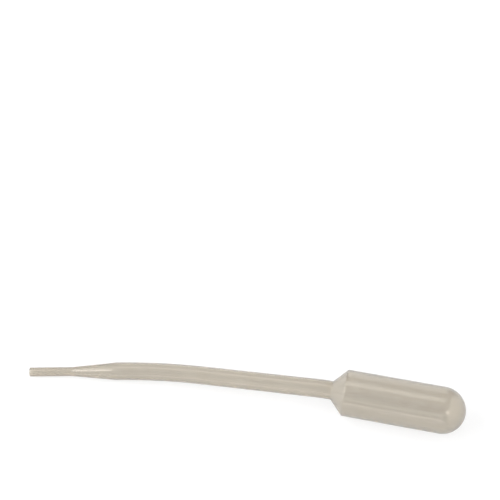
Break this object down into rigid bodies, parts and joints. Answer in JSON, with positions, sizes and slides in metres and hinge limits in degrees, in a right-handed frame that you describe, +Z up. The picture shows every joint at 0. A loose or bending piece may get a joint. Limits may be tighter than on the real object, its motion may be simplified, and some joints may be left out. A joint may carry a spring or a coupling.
{
  "type": "dropper pipette",
  "caption": "One-piece moulded plastic dropper pipette: round-ended squeeze bulb, sloping shoulder, long gently bent stem and a fine open tip, lying on its side.",
  "frame": {"origin": "centre of the lying pipette's bounding box in plan, on the surface it lies on", "axes": "+X along the bulb's axis, from the stem towards the bulb's round end; +Z up; the stem bends towards -Y on its way to the tip"},
  "size_m": [0.1494, 0.0198, 0.0157],
  "materials": {
    "polyethylene": "soft milky natural low-density polyethylene, see-through enough to show light and shade inside, with a waxy satin surface"
  },
  "bodies": {
    "root": {"pipette": "polyethylene"}
  },
  "joints": []
}
